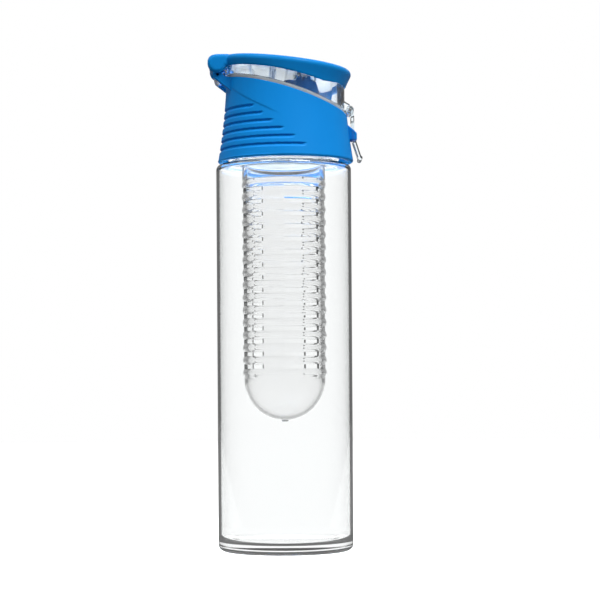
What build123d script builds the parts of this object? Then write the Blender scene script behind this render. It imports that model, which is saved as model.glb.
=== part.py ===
from build123d import *
import os
from math import cos, radians, sin, sqrt

# A clear water bottle with a lift-out infuser basket and a screw-on lid. The lid has a soft grip
# sleeve, a slanted deck with a drinking spout, and a hinged flip top that a front latch holds shut.
# Millimetres, +Z up, origin on the bottle's axis on the surface it stands on. The flip top hinges
# at the back (-X) and latches at the front (+X).

# Bottle body, a clear moulded cylinder with a near-flat shoulder and a threaded neck
bottle_radius = 35.0
bottle_wall = 1.5
base_thickness = 3.2
base_hollow = 1.8
foot_ring = 6.5
foot_slope = 2.6
base_corner = 3.2
shoulder_height = 199.8
shoulder_rise = 1.2
shoulder_corner = 2.8
shoulder_width = 9.5
neck_wall = 2.2
neck_length = 17.0
neck_root = 1.2

# Screw thread between the neck and the collar, one and a half turns, right handed
thread_pitch = 4.2
thread_turns = 1.5
collar_thread_turns = 1.25
thread_depth = 1.2
thread_root_width = 1.8
thread_crest_width = 0.8
thread_sink = 0.25
thread_gap = 0.3
thread_start = 5.5

# Infuser basket, a ribbed tube with rows of slots and a round closed bottom
basket_gap = 1.75
basket_wall = 1.6
basket_collar_step = 0.55
rib_rise = 0.25
rib_depth = 0.7
slot_rows = 15
slot_pitch = 6.5
slot_height = 2.2
slot_columns = 4
slot_angle = 58.0
slot_turn = -61.0
first_slot_drop = 31.6
dome_drop = 129.6
flange_thickness = 1.6
flange_inset = 0.3

# Silicone sealing rings under and over the basket's flange
gasket_thickness = 1.2
gasket_inset = 0.5

# Screw collar, the threaded ring inside the lid
collar_wall = 1.9
collar_lift = 2.8
ledge_thickness = 1.8
ledge_lap = 0.5

# Slanted rim of the lid: an arc in side view that falls towards the front
lid_offset = 1.05
rim_rise = 35.9
rim_tilt = 16.7
rim_bend = 364.0
shell_step = 1.9

# Deck and drinking spout
deck_thickness = 1.4
spout_x = 8.0
spout_radius = 8.0
spout_wall = 1.8
spout_height = 5.0
spout_lip = 0.7

# Grip sleeve, wider at its foot, with finger grooves that wrap round the back
sleeve_gap = 1.4
sleeve_proud = 0.3
sleeve_top_inset = 0.2
sleeve_back_rise = 10.9
sleeve_power_share = 1.65
sleeve_wall = 2.6
sleeve_pocket = 12.8
sleeve_fit = 0.1
sleeve_edge = 0.9
sleeve_points = 8
groove_count = 6
groove_pitch = 4.07
groove_first = 6.1
groove_bead = 0.9
groove_lift = 0.15
groove_reach = 107.0
groove_step = 9.6

# Hinge at the back of the lid
hinge_reach = 3.75
hinge_barrel = 2.6
hinge_pin_radius = 1.0
hinge_half_width = 13.5
knuckle_half_width = 8.6
hinge_side_gap = 0.3
hinge_web_drop = 9.0
hinge_web_depth = 6.4
pin_fit_gap = 0.03
pin_running_gap = 0.08

# Flip top: a clear shell with a blue cover on it
band_rise = 8.0
brim_tilt = 12.3
brim_bend = 316.0
crown_rise = 17.2
crown_tilt = 6.3
crown_bend = 300.0
crown_fall = 3.0
shell_wall = 1.8
shell_gap = 0.3
shell_arm = 2.6
cover_thickness = 3.4
cover_end_reach = 3.6
cover_side_reach = 2.6
cover_shift = 0.2
cover_fit = 0.1
cover_edge = 2.3
cover_tuck = 2.6
cover_side_tuck = 1.2
lip_drop = 4.0
flare_drop = 9.5
roll_radius = 3.7
roll_back = 5.15
roll_rise = 6.46
roll_half_width = 16.3
cheek_radius = 4.9
cheek_rise = 5.3
cheek_edge = 2.0

# Spout seal, a silicone cap on a boss under the shell
seal_radius = 10.2
seal_gap = 0.7
seal_crown = 3.4
seal_edge = 1.6
seal_seat_gap = 0.05
seal_foot_gap = 0.6
seal_stem_radius = 3.0
seal_stem_length = 2.6
boss_wall = 2.6
boss_fit = 0.05

# Latch on the front of the flip top, which hooks under a catch on the sleeve
latch_reach = 2.55
latch_rise = 1.85
latch_barrel = 2.0
latch_pin_radius = 0.9
latch_half_width = 7.0
latch_lug_half_width = 3.8
latch_thickness = 1.5
latch_top_out = 1.25
latch_bend_out = 1.85
latch_bend_drop = 14.6
latch_tip_out = 5.2
latch_tip_drop = 24.9
latch_bend = 10.0
latch_bead = 1.2
latch_web_drop = 3.2
window_half_width = 4.7
window_top_drop = 5.6
catch_half_width = 4.2
catch_top_drop = 6.3
catch_out = 3.7
catch_nose_drop = 11.6
catch_under_drop = 15.4
catch_gap = 0.3
catch_sink = 2.2

overrun = 10.0

# Heights of the stack on the neck
neck_foot = shoulder_height + shoulder_rise
neck_top = neck_foot + neck_length
neck_radius = bottle_radius - shoulder_width
neck_bore = neck_radius - neck_wall
flange_seat = neck_top + gasket_thickness
flange_top = flange_seat + flange_thickness
ledge_height = flange_top + gasket_thickness
collar_top = ledge_height + ledge_thickness
collar_foot = shoulder_height + collar_lift
thread_foot = neck_foot + thread_start
collar_bore = neck_radius + thread_depth + thread_gap
collar_radius = collar_bore + collar_wall
shell_radius = collar_radius + shell_step
sleeve_foot = shoulder_height + sleeve_gap
sleeve_height = rim_rise + sleeve_back_rise
sleeve_foot_radius = bottle_radius + sleeve_proud
sleeve_top_radius = shell_radius - sleeve_top_inset
sleeve_bore = collar_radius + sleeve_fit
rim_height = sleeve_foot + rim_rise
lid_axis = Axis((lid_offset, 0, 0), (0, 0, 1))


class Saddle:
    """A surface that is an arc in side view, seen along Y, and falls towards +X."""

    def __init__(self, height, tilt, bend):
        self.bend = bend
        self.x = -bend * sin(radians(tilt))
        self.z = height - bend * cos(radians(tilt))

    def height(self, x, lift=0):
        """Height of the arc at x, moved out by lift."""
        return self.z + sqrt((self.bend + lift) ** 2 - (x - self.x) ** 2)

    def normal(self, x):
        """Direction square to the arc at x."""
        run = (x - self.x) / self.bend
        return (run, 0, sqrt(1 - run**2))

    def fill(self, lift, mode):
        """Everything under the arc, moved out by lift, as a wide drum along Y."""
        with Locations((self.x, 0, self.z)):
            Cylinder(self.bend + lift, 2 * (bottle_radius + overrun), rotation=(90, 0, 0), mode=mode)


rim = Saddle(rim_height, rim_tilt, rim_bend)
brim = Saddle(rim_height + band_rise, brim_tilt, brim_bend)
crown = Saddle(rim_height + crown_rise, crown_tilt, crown_bend)

shell_foot_lift = deck_thickness + shell_gap
shell_back = lid_offset - shell_radius
shell_front = lid_offset + shell_radius
hinge_x = shell_back - hinge_reach
hinge_z = rim.height(hinge_x)
latch_x = shell_front + latch_reach
latch_z = rim.height(shell_front) + latch_rise
spout_plane = Plane(origin=(spout_x, 0, rim.height(spout_x)), x_dir=(0, 1, 0), z_dir=rim.normal(spout_x))
spout_axis = Axis(spout_plane.origin, spout_plane.z_dir)
spout_top = deck_thickness + spout_height
seal_top = spout_top + seal_seat_gap + seal_crown


def sleeve_radius(height):
    """Outer radius of the grip sleeve at a height."""
    left = (sleeve_foot + sleeve_height - height) / sleeve_height
    return sleeve_top_radius + (sleeve_foot_radius - sleeve_top_radius) * left**sleeve_power_share


def thread_ridge(radius, foot, turns, direction):
    """A helical ridge on a wall of this radius, standing out for direction 1 and in for -1."""
    path = Helix(thread_pitch, thread_pitch * turns, radius, center=(0, 0, foot), mode=Mode.PRIVATE)
    with BuildSketch(Plane(origin=path @ 0, x_dir=(1, 0, 0), z_dir=path % 0)) as section:
        with BuildLine():
            Polyline(
                (-direction * thread_sink, -thread_root_width / 2),
                (direction * thread_depth, -thread_crest_width / 2),
                (direction * thread_depth, thread_crest_width / 2),
                (-direction * thread_sink, thread_root_width / 2),
                close=True,
            )
        make_face()
    sweep(section.sketch, path=path, is_frenet=True)


def save(builder, name):
    """Label a finished piece and write it out."""
    builder.part.label = name
    export_step(builder.part, "parts/" + name + ".step")


# Bottle body
inner_radius = bottle_radius - bottle_wall
foot_radius = bottle_radius - foot_ring
with BuildPart() as bottle_body:
    with BuildSketch(Plane.XZ):
        with BuildLine():
            FilletPolyline(
                (0, base_hollow),
                (foot_radius - foot_slope, base_hollow),
                (foot_radius, 0),
                (bottle_radius, 0),
                (bottle_radius, shoulder_height),
                (neck_radius, neck_foot),
                (neck_radius, neck_top),
                (neck_bore, neck_top),
                (neck_bore, neck_foot - bottle_wall),
                (inner_radius, shoulder_height - bottle_wall),
                (inner_radius, base_hollow + base_thickness),
                (0, base_hollow + base_thickness),
                radius=[
                    neck_root,
                    neck_root / 2,
                    base_corner,
                    shoulder_corner,
                    neck_root,
                    neck_root / 2,
                    neck_root / 2,
                    neck_root,
                    shoulder_corner - bottle_wall / 2,
                    base_corner + bottle_wall / 2,
                ],
            )
            Line((0, base_hollow + base_thickness), (0, base_hollow))
        make_face()
    revolve(axis=Axis.Z)
    thread_ridge(neck_radius, thread_foot, thread_turns, 1)
save(bottle_body, "bottle_body")

# Infuser basket
basket_collar_radius = neck_bore - basket_gap
basket_radius = basket_collar_radius - basket_collar_step
basket_bore = basket_radius - basket_wall
rib_radius = basket_collar_radius + rib_rise
groove_radius = rib_radius - rib_depth
first_slot = neck_top - first_slot_drop
last_slot = first_slot - (slot_rows - 1) * slot_pitch
dome_centre = neck_top - dome_drop
rib_top = first_slot + slot_pitch - slot_height / 2
rib_foot = last_slot - slot_pitch + slot_height / 2
with BuildSketch() as slot_sector:
    with BuildLine():
        arc = CenterArc((0, 0), bottle_radius, 0, slot_angle)
        Polyline(arc @ 1, (0, 0), arc @ 0)
    make_face()
with BuildPart() as infuser_basket:
    with BuildSketch(Plane.XZ):
        with BuildLine():
            Polyline(
                (basket_radius, dome_centre),
                (basket_radius, rib_foot),
                (groove_radius, rib_foot),
            )
            for row in range(slot_rows + 1):
                foot = rib_foot if row == 0 else last_slot + (row - 1) * slot_pitch
                top = rib_top if row == slot_rows else last_slot + row * slot_pitch
                ThreePointArc((groove_radius, foot), (rib_radius, (foot + top) / 2), (groove_radius, top))
            Polyline(
                (groove_radius, rib_top),
                (basket_collar_radius, rib_top),
                (basket_collar_radius, flange_seat),
                (neck_radius - flange_inset, flange_seat),
                (neck_radius - flange_inset, flange_top),
                (basket_bore, flange_top),
                (basket_bore, dome_centre),
            )
            CenterArc((0, dome_centre), basket_bore, 0, -90)
            Line((0, dome_centre - basket_bore), (0, dome_centre - basket_radius))
            CenterArc((0, dome_centre), basket_radius, 0, -90)
        make_face()
    revolve(axis=Axis.Z)
    for row in range(slot_rows):
        with BuildSketch(Plane.XY.offset(last_slot + row * slot_pitch - slot_height / 2)):
            with PolarLocations(0, slot_columns, start_angle=slot_turn - slot_angle / 2):
                add(slot_sector.sketch)
        extrude(amount=slot_height, mode=Mode.SUBTRACT)
save(infuser_basket, "infuser_basket")

# Sealing rings, one under the flange and one over it
for name, foot in (("flange_gasket", neck_top), ("lid_gasket", flange_top)):
    with BuildPart() as gasket:
        with BuildSketch(Plane.XY.offset(foot)):
            Circle(neck_radius - gasket_inset)
            Circle(neck_bore, mode=Mode.SUBTRACT)
        extrude(amount=gasket_thickness)
    save(gasket, name)

# Screw collar
with BuildPart() as screw_collar:
    with BuildSketch(Plane.XY.offset(collar_foot)):
        Circle(collar_radius)
    extrude(amount=collar_top - collar_foot)
    with BuildSketch(Plane.XY.offset(collar_foot)):
        Circle(collar_bore)
    extrude(amount=ledge_height - collar_foot, mode=Mode.SUBTRACT)
    with BuildSketch(Plane.XY.offset(ledge_height)):
        Circle(neck_bore - ledge_lap)
    extrude(amount=ledge_thickness, mode=Mode.SUBTRACT)
    thread_ridge(collar_bore, thread_foot - thread_pitch / 2, collar_thread_turns, -1)
save(screw_collar, "screw_collar")

# Slanted deck with the spout
with BuildPart() as spout_deck:
    with BuildSketch(Plane((lid_offset, 0, collar_top))):
        Circle(shell_radius)
    extrude(amount=rim_rise)
    rim.fill(deck_thickness, Mode.INTERSECT)
    rim.fill(0, Mode.SUBTRACT)
    with BuildSketch(Plane.XY.offset(collar_top)):
        Circle(collar_radius)
        Circle(collar_bore, mode=Mode.SUBTRACT)
    extrude(amount=rim_rise)
    rim.fill(deck_thickness, Mode.INTERSECT)
    with BuildSketch(spout_plane):
        Circle(spout_radius)
    extrude(amount=spout_top)
    fillet(spout_deck.faces().sort_by(spout_axis)[-1].edges(), spout_lip)
    with BuildSketch(spout_plane.offset(-overrun)):
        Circle(spout_radius - spout_wall)
    extrude(amount=spout_top + 2 * overrun, mode=Mode.SUBTRACT)
save(spout_deck, "spout_deck")

# Grip sleeve: shell, finger grooves, hinge ears and latch catch
pocket_top = sleeve_foot + sleeve_pocket
with BuildPart() as grip_sleeve:
    with BuildSketch(Plane(origin=(lid_offset, 0, 0), x_dir=(1, 0, 0), z_dir=(0, -1, 0))):
        with BuildLine():
            steps = range(sleeve_points + 1)
            heights = [sleeve_foot + sleeve_height * step / sleeve_points for step in steps]
            side = Spline(*[(sleeve_radius(height), height) for height in heights])
            Polyline(
                side @ 1,
                (0, heights[-1]),
                (0, pocket_top),
                (sleeve_radius(pocket_top) - sleeve_wall, pocket_top),
                (sleeve_foot_radius - sleeve_wall, sleeve_foot),
                side @ 0,
            )
        make_face()
    revolve(axis=lid_axis)
    foot_circles = grip_sleeve.edges().filter_by(GeomType.CIRCLE).group_by(Axis.Z)[0]
    fillet(foot_circles.sort_by(SortBy.RADIUS)[-1], sleeve_edge)
    for groove in range(groove_count):
        height = sleeve_foot + groove_first + groove * groove_pitch
        reach = groove_reach - groove * groove_step
        bead_path = sleeve_radius(height) + groove_lift
        start = Plane(
            origin=(lid_offset, 0, height),
            x_dir=(-cos(radians(reach)), sin(radians(reach)), 0),
            z_dir=(sin(radians(reach)), cos(radians(reach)), 0),
        )
        with BuildSketch(start):
            with Locations((bead_path, 0)):
                Circle(groove_bead)
        revolve(axis=lid_axis, revolution_arc=2 * reach, mode=Mode.SUBTRACT)
    with BuildSketch(Plane.XZ):
        with BuildLine():
            Polyline(
                (hinge_x - hinge_barrel, hinge_z),
                (hinge_x + hinge_web_depth, hinge_z - hinge_web_drop),
                (hinge_x + hinge_web_depth, hinge_z + hinge_barrel),
                (hinge_x - hinge_barrel, hinge_z + hinge_barrel),
                close=True,
            )
        make_face()
    extrude(amount=hinge_half_width, both=True)
    rim.fill(0, Mode.INTERSECT)
    with BuildSketch(Plane.XZ):
        with Locations((hinge_x, hinge_z)):
            Circle(hinge_barrel)
    extrude(amount=hinge_half_width, both=True)
    with BuildSketch(Plane.XZ):
        with Locations((hinge_x, hinge_z)):
            Circle(hinge_reach - hinge_side_gap)
    extrude(amount=knuckle_half_width + hinge_side_gap, both=True, mode=Mode.SUBTRACT)
    with BuildSketch(Plane.XZ):
        with Locations((hinge_x, hinge_z)):
            Circle(hinge_pin_radius + pin_fit_gap)
    extrude(amount=hinge_half_width + overrun, both=True, mode=Mode.SUBTRACT)
    with BuildSketch(Plane.XZ):
        catch_root = latch_x - catch_sink
        with BuildLine():
            Polyline(
                (catch_root, latch_z - catch_top_drop),
                (latch_x + catch_out, latch_z - catch_nose_drop),
                (latch_x + catch_out, latch_z - catch_under_drop),
                (catch_root, latch_z - catch_under_drop),
                close=True,
            )
        make_face()
    extrude(amount=catch_half_width, both=True)
    with BuildSketch(Plane.XY.offset(pocket_top)):
        Circle(sleeve_bore)
    extrude(amount=sleeve_height, mode=Mode.SUBTRACT)
save(grip_sleeve, "grip_sleeve")

# Hinge pin
with BuildPart() as hinge_pin:
    with BuildSketch(Plane((hinge_x, -hinge_half_width, hinge_z), z_dir=(0, 1, 0))):
        Circle(hinge_pin_radius)
    extrude(amount=2 * hinge_half_width)
save(hinge_pin, "hinge_pin")

# Flip top shell: hollow, boss for the seal, hinge knuckle and latch lug
with BuildPart() as shell_hollow:
    with BuildSketch(Plane((lid_offset, 0, collar_top))):
        Circle(shell_radius - shell_wall)
    extrude(amount=rim_rise + crown_rise)
    crown.fill(-cover_thickness - shell_wall, Mode.INTERSECT)
with BuildPart() as seal_boss:
    with BuildSketch(spout_plane.offset(seal_top)):
        Circle(seal_stem_radius + boss_wall)
    extrude(amount=rim_rise)
    crown.fill(-cover_thickness - shell_wall / 2, Mode.INTERSECT)
with BuildPart() as flip_shell:
    with BuildSketch(Plane((lid_offset, 0, collar_top))):
        Circle(shell_radius)
    extrude(amount=rim_rise + crown_rise)
    crown.fill(-cover_thickness, Mode.INTERSECT)
    add(shell_hollow.part, mode=Mode.SUBTRACT)
    with BuildSketch(Plane.XZ):
        with BuildLine():
            Polyline(
                (latch_x, latch_z),
                (latch_x, latch_z + latch_web_drop),
                (shell_front - shell_wall / 2, latch_z + latch_web_drop + latch_barrel),
                (shell_front - shell_wall / 2, latch_z),
                close=True,
            )
        make_face()
    extrude(amount=latch_lug_half_width, both=True)
    rim.fill(shell_foot_lift, Mode.SUBTRACT)
    with BuildSketch(Plane.XZ):
        with Locations((latch_x, latch_z)):
            Circle(latch_barrel)
    extrude(amount=latch_lug_half_width, both=True)
    with BuildSketch(Plane.XZ):
        with Locations((hinge_x, hinge_z)):
            Circle(hinge_barrel)
        with BuildLine():
            Polyline(
                (hinge_x, hinge_z + hinge_barrel),
                (shell_back + shell_wall / 2, hinge_z + hinge_barrel + shell_arm / 2),
                (shell_back + shell_wall / 2, rim.height(shell_back, shell_foot_lift) + shell_gap),
                (hinge_x + hinge_barrel / 2, hinge_z + hinge_barrel / 2),
                close=True,
            )
        make_face()
    extrude(amount=knuckle_half_width, both=True)
    for x, z, radius in ((hinge_x, hinge_z, hinge_pin_radius), (latch_x, latch_z, latch_pin_radius)):
        with BuildSketch(Plane.XZ):
            with Locations((x, z)):
                Circle(radius + pin_running_gap)
        extrude(amount=bottle_radius, both=True, mode=Mode.SUBTRACT)
    add(seal_boss.part)
    with BuildSketch(spout_plane.offset(seal_top - overrun)):
        Circle(seal_stem_radius + boss_fit)
    extrude(amount=overrun + seal_stem_length + seal_gap, mode=Mode.SUBTRACT)
save(flip_shell, "flip_shell")

# Blue cover of the flip top: a domed cap with a flared lip, and at the back a thick roll whose
# ends hang down as cheeks beside the hinge's ears
roll_z = hinge_z + roll_rise
roll_x = hinge_x - roll_back + roll_radius
cheek_x = hinge_x - roll_back + cheek_radius
cheek_z = hinge_z + cheek_rise
cheek_root = hinge_half_width + hinge_side_gap
tail_x = shell_back + shell_wall
with BuildPart() as cover_tail:
    with BuildSketch(Plane.XZ):
        with Locations((roll_x, roll_z)):
            Circle(roll_radius)
        with BuildLine():
            Polyline(
                (roll_x, roll_z + roll_radius),
                (tail_x, roll_z + roll_radius),
                (tail_x, roll_z - roll_radius / 2),
                (roll_x, roll_z - roll_radius / 2),
                close=True,
            )
        make_face()
    extrude(amount=cheek_root, both=True)
with BuildPart() as cover_cheeks:
    with BuildSketch(Plane.XZ):
        with Locations((cheek_x, cheek_z)):
            Circle(cheek_radius)
        with BuildLine():
            Polyline(
                (cheek_x, cheek_z + cheek_radius),
                (tail_x, cheek_z + cheek_radius),
                (tail_x, cheek_z - cheek_radius / 3),
                (cheek_x, cheek_z - cheek_radius / 3),
                close=True,
            )
        make_face()
    extrude(amount=roll_half_width, both=True)
    for end in (0, -1):
        fillet(cover_cheeks.faces().sort_by(Axis.Y)[end].edges(), cheek_edge)
    with BuildSketch(Plane((cheek_x, 0, 0))):
        Rectangle(4 * cheek_radius, 2 * cheek_root)
    extrude(amount=rim_height + crown_rise + overrun, mode=Mode.SUBTRACT)
with BuildPart() as cover_core:
    with BuildSketch(Plane((lid_offset, 0, collar_top))):
        Circle(shell_radius + cover_fit)
    extrude(amount=rim_rise + crown_rise)
    crown.fill(cover_fit - cover_thickness, Mode.INTERSECT)
cover_length = shell_radius + cover_end_reach
cover_width = shell_radius + cover_side_reach
crown_roll = cover_width**2 / (2 * crown_fall)
with BuildPart() as cover_dome:
    with BuildSketch(Plane.XZ):
        with BuildLine():
            top = CenterArc((crown.x, crown.z), crown_bend, 90 - 3 * crown_tilt, 5 * crown_tilt)
            dome_axis = Line(top @ 0 - (0, crown_roll), top @ 1 - (0, crown_roll))
            Line(top @ 1, dome_axis @ 1)
            Line(dome_axis @ 0, top @ 0)
        make_face()
    dome_back, dome_front = (Plane.XZ.from_local_coords(dome_axis @ end) for end in (1, 0))
    revolve(axis=Axis(dome_back, dome_front - dome_back))
cover_x = lid_offset + cover_shift
with BuildPart() as flip_cover:
    for drop, tuck in ((overrun + flare_drop, 1), (flare_drop, 1), (lip_drop, 0), (-overrun, 0)):
        with BuildSketch(Plane((cover_x, 0, crown.height(cover_x) - drop), z_dir=crown.normal(cover_x))):
            Ellipse(cover_length - tuck * cover_tuck, cover_width - tuck * cover_side_tuck)
    loft()
    add(cover_dome.part, mode=Mode.INTERSECT)
    fillet(flip_cover.edges().sort_by(Axis.Z)[-1], cover_edge)
    brim.fill(0, Mode.SUBTRACT)
    add(cover_tail.part)
    add(cover_cheeks.part)
    add(cover_core.part, mode=Mode.SUBTRACT)
save(flip_cover, "flip_cover")

# Spout seal, a silicone cap with a stem that pushes into the shell's boss
with BuildPart() as spout_seal:
    with BuildSketch(spout_plane.offset(deck_thickness + seal_foot_gap)):
        Circle(seal_radius)
    extrude(amount=seal_top - deck_thickness - seal_foot_gap)
    fillet(spout_seal.faces().sort_by(spout_axis)[-1].edges(), seal_edge)
    with BuildSketch(spout_plane):
        Circle(spout_radius + seal_gap)
    extrude(amount=spout_top + seal_seat_gap, mode=Mode.SUBTRACT)
    with BuildSketch(spout_plane.offset(seal_top)):
        Circle(seal_stem_radius)
    extrude(amount=seal_stem_length)
save(spout_seal, "spout_seal")

# Latch: two knuckles on the pin, a strap with a window, and a pull tab that flares outwards
window_low = latch_z - sqrt(catch_under_drop**2 + catch_out**2) - catch_gap
with BuildPart() as latch:
    with BuildSketch(Plane.XZ):
        with Locations((latch_x, latch_z)):
            Circle(latch_barrel)
        with BuildLine() as strap_line:
            FilletPolyline(
                (latch_x + latch_top_out, latch_z),
                (latch_x + latch_bend_out, latch_z - latch_bend_drop),
                (latch_x + latch_tip_out, latch_z - latch_tip_drop),
                radius=latch_bend,
            )
        trace(strap_line.line, latch_thickness)
        with Locations((latch_x + latch_tip_out, latch_z - latch_tip_drop)):
            Circle(latch_bead)
    extrude(amount=latch_half_width, both=True)
    with BuildSketch(Plane.XZ):
        with Locations((latch_x, latch_z)):
            Circle(latch_barrel + latch_thickness)
    extrude(amount=latch_lug_half_width + hinge_side_gap, both=True, mode=Mode.SUBTRACT)
    with BuildSketch(Plane.YZ):
        with BuildLine():
            Polyline(
                (-window_half_width, window_low),
                (window_half_width, window_low),
                (window_half_width, latch_z - window_top_drop),
                (-window_half_width, latch_z - window_top_drop),
                close=True,
            )
        make_face()
    extrude(amount=2 * bottle_radius, mode=Mode.SUBTRACT)
    with BuildSketch(Plane.XZ):
        with Locations((latch_x, latch_z)):
            Circle(latch_pin_radius + pin_fit_gap)
    extrude(amount=bottle_radius, both=True, mode=Mode.SUBTRACT)
save(latch, "latch")

# Latch pin
with BuildPart() as latch_pin:
    with BuildSketch(Plane((latch_x, -latch_half_width, latch_z), z_dir=(0, 1, 0))):
        Circle(latch_pin_radius)
    extrude(amount=2 * latch_half_width)
save(latch_pin, "latch_pin")
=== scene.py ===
from math import cos, degrees, pi, radians, sin, sqrt, tan

import bmesh
import bpy
from mathutils import Matrix, Vector


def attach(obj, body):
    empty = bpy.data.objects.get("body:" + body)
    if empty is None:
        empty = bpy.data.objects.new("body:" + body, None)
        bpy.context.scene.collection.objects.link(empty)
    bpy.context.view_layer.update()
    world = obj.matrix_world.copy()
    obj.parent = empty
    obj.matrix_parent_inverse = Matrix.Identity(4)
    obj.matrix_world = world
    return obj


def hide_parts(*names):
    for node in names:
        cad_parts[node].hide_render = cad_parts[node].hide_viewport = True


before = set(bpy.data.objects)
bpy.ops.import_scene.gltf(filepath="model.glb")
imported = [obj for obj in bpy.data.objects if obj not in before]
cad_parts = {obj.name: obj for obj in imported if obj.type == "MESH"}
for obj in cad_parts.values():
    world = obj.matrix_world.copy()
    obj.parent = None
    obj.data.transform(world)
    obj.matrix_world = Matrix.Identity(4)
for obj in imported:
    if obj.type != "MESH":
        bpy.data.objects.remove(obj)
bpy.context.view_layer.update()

# A clear infuser bottle with a blue screw lid, dressed over its CAD frame.
# Sizes are millimetres, as in the part's source, and are turned to metres where meshes are made.
# +X is the front of the lid, with the latch, and -X its back, with the hinge.

mm = 0.001
scene = bpy.context.scene

# Bottle body
bottle_radius = 35.0
bottle_wall = 1.5
base_thickness = 3.2
base_hollow = 1.8
foot_radius = 28.5
foot_slope = 2.6
base_corner = 3.2
shoulder_height = 199.8
neck_foot = 201.0
shoulder_corner = 2.8
neck_radius = 25.5
neck_bore = 23.3
neck_top = 218.0
neck_root = 1.2
bottle_turns = 256

# Thread on the neck
thread_pitch = 4.2
thread_turns = 1.5
thread_foot = 206.5
thread_depth = 1.2
thread_root = 1.8
thread_crest = 0.8
thread_steps = 96

# Infuser basket
basket_bore = 19.4
basket_radius = 21.0
basket_collar_radius = 21.55
rib_radius = 21.8
groove_radius = 21.1
slot_rows = 15
slot_pitch = 6.5
slot_height = 2.2
slot_columns = 4
slot_angle = 58.0
slot_start = -90.0
first_slot = 186.4
basket_turns = 180
rib_cells = 6
slot_cells = 2
dome_centre = 88.4
dome_shoulder = 0.3
dome_steps = 18
flange_seat = 219.2
flange_top = 220.8
flange_radius = 25.2
gate_radius = 1.6
gate_rise = 0.6
gate_flare = 0.2
gate_blend = 0.05

# Gaskets
gasket_radius = 25.0
gasket_height = 1.2
gasket_edge = 0.4
gasket_turns = 128

# Grip sleeve
lid_offset = 1.05
sleeve_foot = 201.2
sleeve_foot_radius = 35.3
sleeve_top_radius = 30.6
sleeve_height = 46.8
sleeve_power = 1.65
sleeve_wall = 2.6
sleeve_bore = 29.0
sleeve_edge = 0.9
sleeve_widest = 35.13
sleeve_turns = 360
sleeve_rows = 176
pocket_top = 214.0
rim_gap = 0.02
rim_edge = 0.45
rim_guess = 237.0
rim_rounds = 6
edge_steps = 4

# Finger grooves, and the sunken ground round them
groove_count = 6
groove_pitch = 4.07
groove_first = 6.1
groove_depth = 1.0
groove_brow = 0.75
groove_slope = 1.6
groove_reach = 107.0
groove_step = 9.6
groove_taper = 1.6
groove_tip = 0.9
groove_tip_slant = 0.4
panel_depth = 0.25
panel_top = 234.1
panel_fall = 0.27
panel_start = 44.5
panel_edge = 1.0
panel_fade = (70, 88)

# Hinge and latch
hinge_x = -33.5
hinge_z = 245.44
hinge_barrel = 2.6
knuckle_half_width = 8.9
hinge_half_width = 13.5
hinge_web_depth = 6.4
hinge_web_drop = 9.0
ear_arc = (30, 222)
ear_steps = 20
ear_reach = 0.9
ear_front = 3.0
ear_sink = 0.15
ear_edge = 0.5
latch_x = 34.4
latch_z = 227.76
catch_half_width = 4.2
catch_top_drop = 6.3
catch_out = 3.7
catch_nose_drop = 11.6
catch_under_drop = 15.4
catch_sink = 2.2
catch_edge = 0.6

# Flip top
roof_depth = 6.0
roof_level = 0.6  # how much a face has to point up or down to be frosted
lip_foot = 239.9
cover_grid = 0.36
cover_ease = 6

# Meshes: how near points are welded, the angles in degrees that count as flat, as an edge to ease
# and as an edge to keep sharp, and the radius that counts as on the axis
fine_weld = 0.001
cad_weld = 0.002
part_weld = 0.004
flat_angle = 0.05
bevel_angle = 40
sharp_angle = 35
on_axis = 1e-6


class Saddle:
    """An arc in side view that falls towards the front, as the lid's rims do."""

    def __init__(self, height, tilt, bend):
        self.bend = bend
        self.x = -bend * sin(radians(tilt))
        self.z = height - bend * cos(radians(tilt))

    def height(self, x, lift=0.0):
        return self.z + sqrt((self.bend + lift) ** 2 - (x - self.x) ** 2)


rim = Saddle(height=237.1, tilt=16.7, bend=364.0)
crown = Saddle(height=254.3, tilt=6.3, bend=300.0)


def smooth(low, high, value):
    """0 below low, 1 above high, and an S between."""
    t = min(1.0, max(0.0, (value - low) / (high - low)))
    return t * t * (3 - 2 * t)


# Materials

ripple_depth = 0.05
drift_size = 22.0
gloss_spread = 0.06
scratch_pitch = 0.25
scratch_depth = 0.01
scratch_stretch = 0.04


def linear(code):
    """An sRGB hex colour as linear RGBA."""
    parts = [int(code[i : i + 2], 16) / 255 for i in (0, 2, 4)]
    return (*[p / 12.92 if p <= 0.04045 else ((p + 0.055) / 1.055) ** 2.4 for p in parts], 1.0)


def add(tree, kind, links=None, **settings):
    """A node of this kind with its settings. Each input is set to a value, or linked to a socket or
    to another node's first output."""
    made = tree.nodes.new(kind)
    for name, value in settings.items():
        setattr(made, name, value)
    for name, value in (links or {}).items():
        if isinstance(value, bpy.types.Node):
            value = value.outputs[0]
        socket = made.inputs[name]
        if isinstance(value, bpy.types.NodeSocket):
            tree.links.new(value, socket)
        else:
            socket.default_value = value
    return made


def material(name):
    """A new material and its empty node tree."""
    made = bpy.data.materials.new(name)
    made.use_nodes = True
    made.node_tree.nodes.clear()
    return made, made.node_tree


def object_place(tree, scale=(1.0, 1.0, 1.0)):
    """Object coordinates in metres, stretched by scale."""
    place = add(tree, "ShaderNodeTexCoord").outputs["Object"]
    return add(tree, "ShaderNodeMapping", {"Vector": place, "Scale": scale})


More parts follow.
